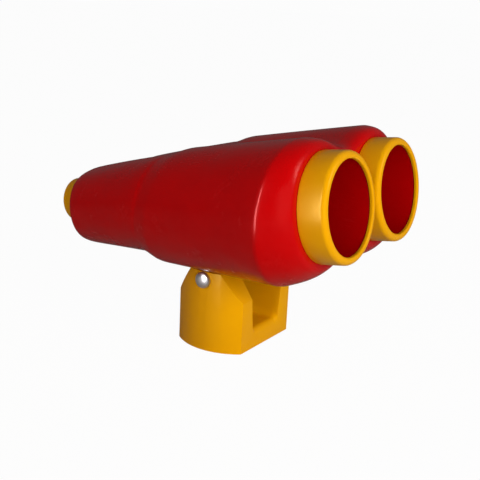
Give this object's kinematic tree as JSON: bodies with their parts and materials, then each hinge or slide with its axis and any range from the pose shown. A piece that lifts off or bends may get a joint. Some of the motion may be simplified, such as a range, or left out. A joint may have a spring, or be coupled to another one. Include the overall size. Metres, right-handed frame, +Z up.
{
  "type": "playground binoculars",
  "caption": "Toy playground binoculars: a hollow moulded two-barrel head with ringed windows, tilting on a yoke that swivels on a base plate.",
  "frame": {"origin": "centre of the base plate's underside, on the swivel axis", "axes": "+Z up along the swivel axis, +Y the way the user looks, +X the user's right, along the tilt bolt"},
  "size_m": [0.261, 0.3601, 0.244],
  "materials": {
    "red_moulding": "satin blow-moulded polyethylene",
    "yellow_moulding": "satin moulded plastic",
    "yellow_ring": "satin moulded plastic",
    "window": "clear acrylic",
    "zinc": "bright zinc plated",
    "galvanised": "galvanised",
    "nylon": "natural nylon",
    "rubber": "matte"
  },
  "bodies": {
    "base": {"swivel_plate": "galvanised", "swivel_bolt": "zinc", "swivel_washer": "zinc", "swivel_lock_nut": "zinc"},
    "yoke": {"yoke_bracket": "yellow_moulding", "swivel_bush": "nylon", "thrust_washer": "nylon", "tilt_bolt": "zinc", "tilt_nut_washer": "zinc", "tilt_lock_nut": "zinc", "tilt_nut_cap": "yellow_moulding"},
    "head": {"body_shell": "red_moulding", "tilt_sleeve": "zinc", "friction_washer_right": "rubber", "friction_washer_left": "rubber", "objective_neck_right": "red_moulding", "objective_neck_left": "red_moulding", "objective_ring_right": "yellow_ring", "objective_ring_left": "yellow_ring", "eyepiece_ring_right": "yellow_ring", "eyepiece_ring_left": "yellow_ring", "eyepiece_window_right": "window", "eyepiece_window_left": "window"}
  },
  "joints": [
    {"name": "swivel", "type": "hinge", "parent": "base", "child": "yoke", "pos_m": [0, 0, 0], "axis": [0, 0, 1], "continuous": true},
    {"name": "tilt", "type": "hinge", "parent": "yoke", "child": "head", "pos_m": [0, 0, 0.08], "axis": [1, 0, 0], "range_deg": [-15, 4]}
  ]
}
